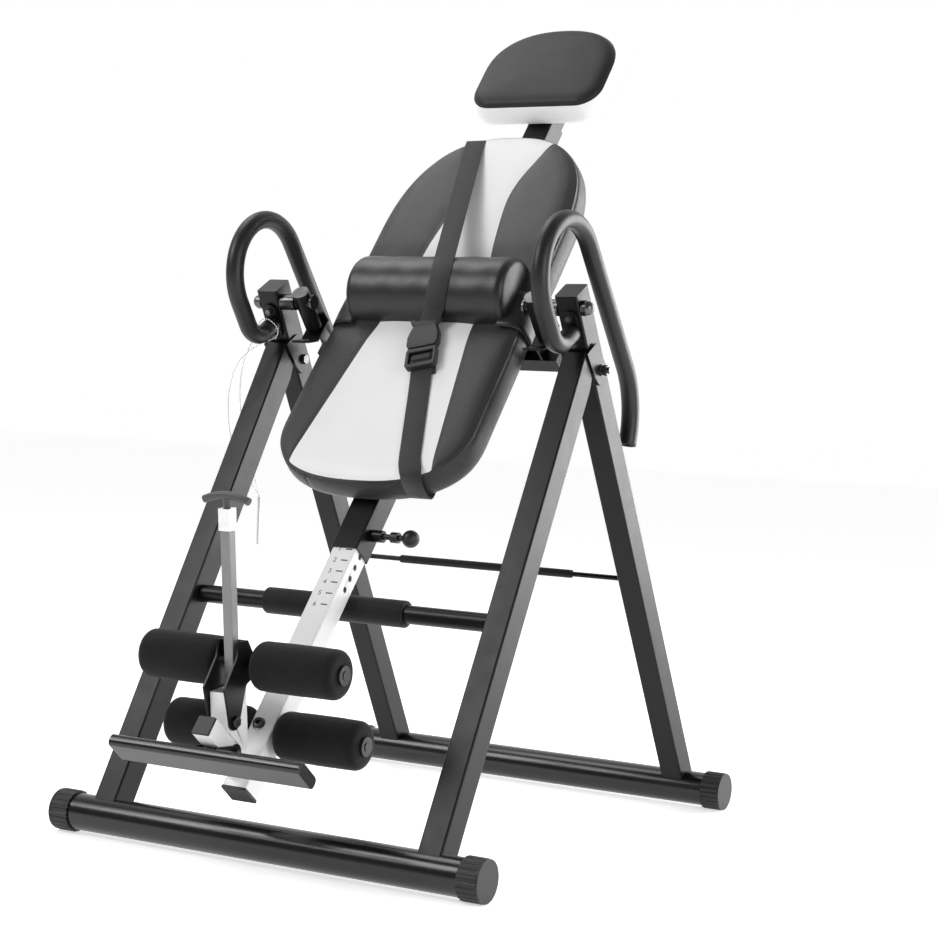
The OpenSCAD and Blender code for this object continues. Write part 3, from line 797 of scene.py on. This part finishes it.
def soften(pad):
    """Swells the cover a little between the seams, holding the back, the rim and the seam lines."""
    co = np.array([v.co for v in pad.data.vertices]) - PIVOT
    depth = co @ BACK_BED / MM
    pinned = {}
    seam_edges = set()
    by_edge = {}
    for p in pad.data.polygons:
        for key in p.edge_keys:
            by_edge.setdefault(key, set()).add(p.material_index)
    for key, kinds in by_edge.items():
        if len(kinds) > 1:
            seam_edges.update(key)
    for i, d in enumerate(depth):
        if d > SEAM_BACK + 40:
            pinned[i] = 1.0
        elif i in seam_edges or SEAM_BACK - 0.5 < d < SEAM_BACK + 3.5:
            pinned[i] = 0.9
    puffed(pad, pinned, 3.0, 1.8 * MM)


def lower_insert(up):
    """Half width of the white insert on the lower pad."""
    return float(np.interp(up, [-282, -8], [124, 83.5]))


def upper_insert(up):
    """Half width of the white insert on the upper pad, waisted in the middle."""
    knots = [26, 140, 218, 262, 302, 345, 386, 410]
    widths = [81, 61, 49, 44.5, 50, 66, 85, 97]
    near = [np.interp(up + d, knots, widths) for d in (-24, -12, 0, 12, 24)]
    return float(np.dot(near, [0.1, 0.22, 0.36, 0.22, 0.1]))


def lower_half(up):
    narrow = np.clip((up + 60) / 82, 0, 1) * 3
    return float(super_half(up, *LOWER_TIP) - narrow)


def upper_half(up):
    narrow = np.clip((120 - up) / 94, 0, 1) * 3
    return float(super_half(up, *UPPER_TIP) - narrow)


def end_rows(flat_end, tip, count_flat, count_round):
    """Heights of the rows: even on the straight part, closing up towards a rounded end."""
    start, depth, direction = tip
    straight = np.linspace(flat_end, start, count_flat)
    last = math.asin((1 - (CAP_HALF / PAD_HALF) ** TIP_POWER) ** (1 / TIP_POWER))
    t = np.linspace(0, last, count_round)[1:]
    return list(straight) + list(start + direction * depth * np.sin(t))


lower_rows = end_rows(21.5, LOWER_TIP, 40, 34)[::-1]
upper_rows = end_rows(26.5, UPPER_TIP, 30, 50)
make_pad("lower_pad_cover", "lower_pad", lower_rows, lower_half, lower_insert, LOWER_TIP)
make_pad("upper_pad_cover", "upper_pad", upper_rows, upper_half, upper_insert, UPPER_TIP)


# ---------------------------------------------------------------- lumbar roll and its bands
def make_bolster():
    """Half-round roll: seamed end discs pull in a little, the long face has shallow creases."""
    edge = 13.0
    flat_back = SEAM_BACK - 0.4
    end = [(BOLSTER_HALF - edge * (1 - math.sin(a)), BOLSTER_R - edge * (1 - math.cos(a)))
           for a in np.linspace(0, math.pi / 2, 8)]
    stations = [(-x, r) for x, r in end[::-1]]
    stations += [(x, BOLSTER_R) for x in np.linspace(-BOLSTER_HALF + edge, BOLSTER_HALF - edge, 45)[1:-1]]
    stations += end
    arc = np.linspace(0, math.pi, 41)
    verts, faces = [], []
    for x, r in stations:
        for a in arc:
            reach = r + 0.5 * math.sin(x * 0.11 + 2.0 * a) * math.sin(a)  # with a shallow crease
            verts.append(bed(x, flat_back - reach * math.sin(a), BOLSTER_UP + reach * math.cos(a)))
    cols = len(arc)
    for i in range(len(stations) - 1):
        for j in range(cols - 1):
            a = i * cols + j
            faces.append((a, a + 1, a + cols + 1, a + cols))
        a = i * cols
        faces.append((a, a + cols, a + 2 * cols - 1, a + cols - 1))
    for first, sign in ((0, -1), ((len(stations) - 1) * cols, 1)):
        x, r = stations[0 if sign < 0 else -1]
        ring = [first + j for j in range(cols)]
        for k, inner in enumerate((0.8, 0.55, 0.3)):
            start = len(verts)
            dish = sign * (0.8 + 1.6 * (k + 1) / 3)
            inward = (1 - inner) * r * 0.42
            for j, a in enumerate(arc):
                share = 1 if 0 < j < cols - 1 else 0.15
                verts.append(bed(x + dish, flat_back - inner * r * math.sin(a) - inward * share,
                                 BOLSTER_UP + inner * r * math.cos(a)))
            new = list(range(start, start + cols))
            for j in range(cols - 1):
                faces.append((ring[j], ring[j + 1], new[j + 1], new[j]))
            faces.append((ring[-1], ring[0], new[0], new[-1]))
            ring = new
        faces.append(tuple(ring))
    roll = tidy_mesh(mesh_object("lumbar_roll", verts, faces, [BOLSTER_BLACK]), 1e-5)
    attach(roll, "bed")
    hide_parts("bolster")


make_bolster()


def ribbon(name, line, width, thick, material):
    """A flat strap along (x, back, up) points, with its width across the line and soft corners."""
    pts, _ = smooth_line([bed(*p) for p in line], 4 * MM)
    x_axis = np.array([1.0, 0, 0])
    verts = []
    corner = [(-0.5, -0.15), (-0.48, -0.5)]
    half = corner + [(-a, b) for a, b in corner[::-1]]
    section = half + [(-a, -b) for a, b in half]
    for p, t in zip(pts, unit_tangents(pts)):
        across = x_axis - t * (x_axis @ t)
        across /= np.linalg.norm(across)
        normal = np.cross(across, t)
        verts += [p + across * a * width * MM + normal * b * thick * MM for a, b in section]
    faces = ring_faces(len(pts), len(section)) + end_faces(len(pts), len(section))
    return tidy_mesh(mesh_object(name, verts, faces, [material]), 1e-6)


STRAP_LEAN = 0.284


def strap_x(up):
    """Where the middle of the leaning strap lies across the bed, at a height along it."""
    return 9 - up * STRAP_LEAN


def strap_line():
    """Up the lower pad, through the buckle, over the roll, then taut to the top of the upper pad."""
    line = [(94, 88.5, -270), (96, 87, -296), (96.5, 78, -304.5), (97, 64, -305.5), (97, 50, -304),
            (96.5, 39.5, -300), (95.5, 34, -292)]
    line += [(strap_x(u), b, u) for u, b in ((-270, 32.4), (-235, 31.6), (-190, 31.4), (-150, 31.2),
                                             (-118, 30.4), (-92, 27.5), (-72, 24), (-52, 22.5))]
    line += [(21.5, 23, -34), (20.5, 21, -16), (22.5, 13, 2)]
    r = BOLSTER_R + 1.3
    for degrees, x in ((144, 26), (130, 29), (118, 31), (105, 31.5), (92, 30), (81, 27)):
        a = math.radians(degrees)
        line.append((x, SEAM_BACK - r * math.sin(a), BOLSTER_UP + r * math.cos(a)))
    line += [(27 - 0.278 * (u - 67), -18.6 + 0.163 * (u - 67), u) for u in (90, 140, 200, 260, 320, 365)]
    line += [(-62, 34.5, 389), (-64, 40, 396.5), (-65, 50, 401.5), (-66, 64, 403.5), (-66.5, 78, 402.5),
             (-66.5, 87, 394), (-66, 88.5, 370)]
    return line


def make_strap():
    """The lap strap in one run, and the loose tail below its buckle."""
    strap = ribbon("lap_strap_webbing", strap_line(), 35, 1.7, WEBBING)
    tail = ribbon("strap_tail", [(strap_x(-70) + 4, 28, -70), (strap_x(-92) + 5, 30.5, -92),
                                 (strap_x(-113) + 6, 32.4, -113)], 35, 1.6, WEBBING)
    for piece in (strap, tail):
        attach(piece, "bed")
    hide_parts("lap_strap")


make_strap()


def make_bands():
    """Wide elastic bands that hold the roll: from its ends round the pad edges to the back."""
    middle, width, thick, cols = 24, 70, 1.6, 9
    route = [(128, 30.5), (146, 31.5), (158, 34.5), (166.5, 41.5), (170.5, 54), (171, 70), (167, 84),
             (156, 88.5), (120, 88.5)]
    for side, name in ((-1, "roll_band_left"), (1, "roll_band_right")):
        pts, _ = smooth_line([bed(side * x, back, middle) for x, back in route], 4 * MM)
        verts, faces = [], []
        for p, t in zip(pts, unit_tangents(pts)):
            normal = np.cross(UP_BED, t) * side
            normal /= np.linalg.norm(normal)
            for b in (0.5, -0.5):
                for k in range(cols):
                    across = k / (cols - 1) - 0.5
                    lift = 0.8 * math.cos(math.pi * across)
                    verts.append(p + UP_BED * across * width * MM - normal * (b * thick + lift) * MM)
        n = 2 * cols
        loop = list(range(cols)) + list(range(n - 1, cols - 1, -1))
        for i in range(len(pts) - 1):
            for a, b in zip(loop, loop[1:] + loop[:1]):
                faces.append((i * n + a, i * n + b, (i + 1) * n + b, (i + 1) * n + a))
        faces += [tuple(loop)[::-1], tuple((len(pts) - 1) * n + k for k in loop)]
        band = tidy_mesh(mesh_object(name, verts, faces, [BOLSTER_BLACK]), 1e-6)
        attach(band, "bed")


make_bands()


# ---------------------------------------------------------------- buckle
def make_buckle():
    """Side-release buckle: prong half above, body, ladder half below with the strap through it."""
    lean = math.atan(STRAP_LEAN)
    middle = (strap_x(-55) + 0.7, SEAM_BACK - 12.5, -55)

    def place(x, y, z):
        along_x = x * math.cos(lean) - y * math.sin(lean)
        along_up = x * math.sin(lean) + y * math.cos(lean)
        return Vector(bed(middle[0] + along_x, middle[1] - z, middle[2] + along_up))

    horns = [(-17, 30), (-19, 38), (-25, 41), (-26, 48), (-22, 51), (-17, 46), (17, 46), (22, 51),
             (26, 48), (25, 41), (19, 38), (17, 30)]
    body = [(-17, 33), (-12, 30), (12, 30), (17, 33), (22, 24), (26, 10), (26, -6), (23, -13),
            (-23, -13), (-26, -6), (-26, 10), (-22, 24)]
    prong = [(-26.5, 12), (-24, 22), (-21.5, 27), (-20.5, 14), (-23, 0), (-26.5, -4)]
    ladder = [(-23, -14), (23, -14), (25, -20), (25, -48), (21, -52), (-21, -52), (-25, -48), (-25, -20)]
    window = [(-19, -22), (19, -22), (19, -45), (-19, -45)]
    pieces = [
        bevelled(plate("horns", horns, place, 1.0, 9.0, [BUCKLE_BLACK]), 1.6 * MM),
        bevelled(plate("body", body, place, 0.0, 12.5, [BUCKLE_BLACK]), 2.6 * MM, 4),
        bevelled(plate("ladder", ladder, place, 0.5, 11.0, [BUCKLE_BLACK], window), 1.4 * MM),
        bevelled(plate("bar", [(-20, -37.5), (20, -37.5), (20, -41), (-20, -41)], place, 2.0, 7.0,
                       [BUCKLE_BLACK]), 1.2 * MM),
        bevelled(plate("web_turn", [(-17, -27), (17, -27), (17, -38), (-17, -38)], place, 0.5, 9.6,
                       [WEBBING]), 4.2 * MM, 5),
    ]
    for side in (-1, 1):
        pieces.append(bevelled(plate("prong", [(side * x, y) for x, y in prong][::side], place, 2.0, 10.0,
                                     [BUCKLE_BLACK]), 1.2 * MM))
    for p in pieces:
        p.data.polygons.foreach_set("use_smooth", [True] * len(p.data.polygons))
    buckle = join("strap_buckle", pieces)
    weighted = buckle.modifiers.new("normals", "WEIGHTED_NORMAL")
    weighted.keep_sharp = False
    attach(buckle, "bed")
    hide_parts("buckle")


make_buckle()


# ---------------------------------------------------------------- headrest
HEAD_HALF = 120
HEAD_CORNER = 40
HEAD_FOOT = 484  # height of the flat lower edge along the bed
HEAD_SHOULDER = 570  # where the superellipse starts
HEAD_DOME = 97


def headrest_outline():
    """Outline in (x, up) mm: flat below with round corners, a superellipse above."""
    corner = [(HEAD_HALF - HEAD_CORNER * (1 - math.cos(a)), HEAD_FOOT + HEAD_CORNER * (1 + math.sin(a)))
              for a in np.linspace(-math.pi / 2, 0, 11)]
    points = list(corner)
    for t in np.linspace(0, math.pi, 49):
        c = math.cos(t)
        points.append((HEAD_HALF * math.copysign(abs(c) ** (2 / 2.3), c),
                       HEAD_SHOULDER + HEAD_DOME * math.sin(t) ** (2 / 2.3)))
    points += [(-x, up) for x, up in corner[::-1]]
    closed = np.array(points + points[:1])
    along = np.r_[0, np.cumsum(np.hypot(*np.diff(closed, axis=0).T))]
    at = np.linspace(0, along[-1], 120, endpoint=False)
    return np.stack([np.interp(at, along, closed[:, 0]), np.interp(at, along, closed[:, 1])], 1)


def make_headrest():
    """Dark crowned face sewn to a white band that leans out a little towards the back."""
    rim = headrest_outline()
    centre = np.array([0.0, 572.0])
    along = np.roll(rim, -1, 0) - np.roll(rim, 1, 0)
    out = np.stack([along[:, 1], -along[:, 0]], 1)
    out /= np.linalg.norm(out, axis=1)[:, None]
    n = len(rim)
    seam = 46.0
    crown = 2.4
    dark, white = 0, 1
    face = [(0.0, -0.4), (1.6, 2.8), (4.0, 5.2), (8.0, 7.3), (14.0, 8.8), (22.0, 9.8)]
    wall = [(0.6, 1.0), (1.4, 3.0), (3.0, 10.0), (4.4, 20.0), (4.6, 30.0), (2.6, 37.0), (-3.0, 41.0),
            (-10.0, 42.0)]
    rings = [(bed_outline(rim + out * shift, seam + depth), white) for shift, depth in wall[::-1]]
    rings += [(bed_outline(rim - out * inset, seam - lift), dark) for inset, lift in face]
    last_inset, last_lift = face[-1]
    inner = rim - out * last_inset - centre
    for f in 1 - np.arange(1, 9) / 9:
        rings.append((bed_outline(centre + inner * f, seam - last_lift - crown * (1 - f * f)), dark))
    verts = [point for points, _ in rings for point in points]
    faces = ring_faces(len(rings), n) + end_faces(len(rings), n)
    slots = [slot for _, slot in rings[1:] for _ in range(n)] + [white, dark]
    head = tidy_mesh(mesh_object("headrest_cover", verts, faces, [LEATHER_GREY, LEATHER_WHITE], slots), 1e-6)
    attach(head, "head_slide")
    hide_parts("headrest")


make_headrest()


# ---------------------------------------------------------------- socket bolt in the height tube
def make_tube_bolt():
    """Hex-socket bolt in the front face of the white tube, just above the rear axle."""
    turn = np.linspace(0, 2 * math.pi, 48, endpoint=False)
    x, front, up = -6, 85.1, -698.4
    # radius, depth and number of sides: the hexagon socket, then the head, then the washer
    profile = [(4.2, 5.4, 6), (4.2, 1.5, 6), (5.4, 0.9, 48), (7.0, 0.9, 48), (7.9, 1.8, 48), (7.9, 5.0, 48),
               (9.6, 5.4, 48), (9.6, 6.6, 48)]
    verts = []
    for r, depth, sides in profile:
        for a in turn:
            reach = r * math.cos(math.pi / sides) / math.cos((a % (2 * math.pi / sides)) - math.pi / sides)
            verts.append(bed(x + reach * math.cos(a), front + depth, up + reach * math.sin(a)))
    faces = ring_faces(len(profile), len(turn)) + end_faces(len(profile), len(turn))
    bolt = tidy_mesh(mesh_object("height_tube_bolt", verts, faces, [BOLT], smooth=False), 1e-7)
    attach(bolt, "foot_slide")


make_tube_bolt()


# ---------------------------------------------------------------- scale marks on the height tube
def make_marks():
    """Short bars and plain numerals on the front of the white tube, one for each hole."""
    pieces = []
    pitch, first, front = 19.6, -396.2, 91.5
    basis = Matrix((Vector((1, 0, 0)), Vector(UP_BED), Vector(-BACK_BED))).transposed().to_4x4()

    def place(x, y, z):
        return Vector(bed(x, front - z, y))

    for k in range(6):
        up = first - k * pitch
        bar = [(4, up - 1), (15, up - 1), (15, up + 1), (4, up + 1)]
        pieces.append(plate("bar", bar, place, 0.02, 0.1, [MARK]))
        text = bpy.data.curves.new("numeral", "FONT")
        text.body = str(k + 1)
        text.size = 11 * MM
        text.extrude = 0.04 * MM
        obj = bpy.data.objects.new("numeral", text)
        bpy.context.scene.collection.objects.link(obj)
        obj.matrix_world = Matrix.Translation(place(-9, up - 4, 0.06)) @ basis
        bpy.context.view_layer.update()
        mesh = bpy.data.meshes.new_from_object(obj)
        mesh.transform(obj.matrix_world)
        bpy.data.objects.remove(obj)
        mesh.materials.clear()
        mesh.materials.append(MARK)
        numeral = bpy.data.objects.new("numeral_mesh", mesh)
        bpy.context.scene.collection.objects.link(numeral)
        pieces.append(numeral)
    bpy.context.view_layer.update()
    marks = join("height_scale", pieces)
    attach(marks, "foot_slide")


make_marks()


# ---------------------------------------------------------------- stage, light
def pale(name, value, roughness, glow):
    """Nearly even pale floor that glows a little, so that only the shadows show."""
    s = Shader(name, roughness, 0.0, 0.2)
    s.color(s.ramp(s.noise(3, 2), *tones(value, 0.01)))
    s.bsdf.inputs["Emission Color"].default_value = (1, 1, 1, 1)
    s.bsdf.inputs["Emission Strength"].default_value = glow
    return s.material


def make_stage():
    """Pale floor, white wall, and four soft lights."""
    half, height = 14.0, -0.5 * MM
    corners = [(a * half, b * half, height) for a, b in ((-1, -1), (1, -1), (1, 1), (-1, 1))]
    floor = mesh_object("floor", corners, [(0, 1, 2, 3)], [pale("floor_pale", 0.9, 0.8, 0.56)])
    world = bpy.data.worlds.new("studio")
    bpy.context.scene.world = world
    world.use_nodes = True
    tree = world.node_tree
    tree.nodes["Background"].inputs["Color"].default_value = (1, 1, 1, 1)
    # white wall behind the object, a dimmer room in front of it
    way = tree.nodes.new("ShaderNodeTexCoord").outputs["Generated"]
    facing = tree.nodes.new("ShaderNodeVectorMath")
    facing.operation = "DOT_PRODUCT"
    facing.inputs[1].default_value = (-0.49, 0.87, 0.04)
    level = tree.nodes.new("ShaderNodeMapRange")
    level.interpolation_type = "SMOOTHSTEP"
    for name, value in (("From Min", -0.1), ("From Max", 0.9), ("To Min", 0.2), ("To Max", 1.0)):
        level.inputs[name].default_value = value
    tree.links.new(way, facing.inputs[0])
    tree.links.new(facing.outputs["Value"], level.inputs["Value"])
    tree.links.new(level.outputs["Result"], tree.nodes["Background"].inputs["Strength"])

    def light(name, place, target, size, power):
        data = bpy.data.lights.new(name, "AREA")
        data.size = size
        data.energy = power
        lamp = bpy.data.objects.new(name, data)
        bpy.context.scene.collection.objects.link(lamp)
        lamp.location = place
        aim = Vector(target) - Vector(place)
        lamp.rotation_euler = aim.to_track_quat("-Z", "Y").to_euler()

    light("key", (-2.2, -2.6, 3.0), (0, 0, 0.6), 1.6, 70)
    light("fill", (3.7, -1.1, 1.5), (0, 0, 0.7), 2.2, 56)
    light("rim", (2.0, 3.1, 1.3), (0, 0, 0.55), 2.4, 115)
    light("top", (-1.0, 0.25, 2.7), (0, 0.15, 0.9), 1.1, 13)
    bpy.context.scene.view_settings.view_transform = "Standard"


make_stage()
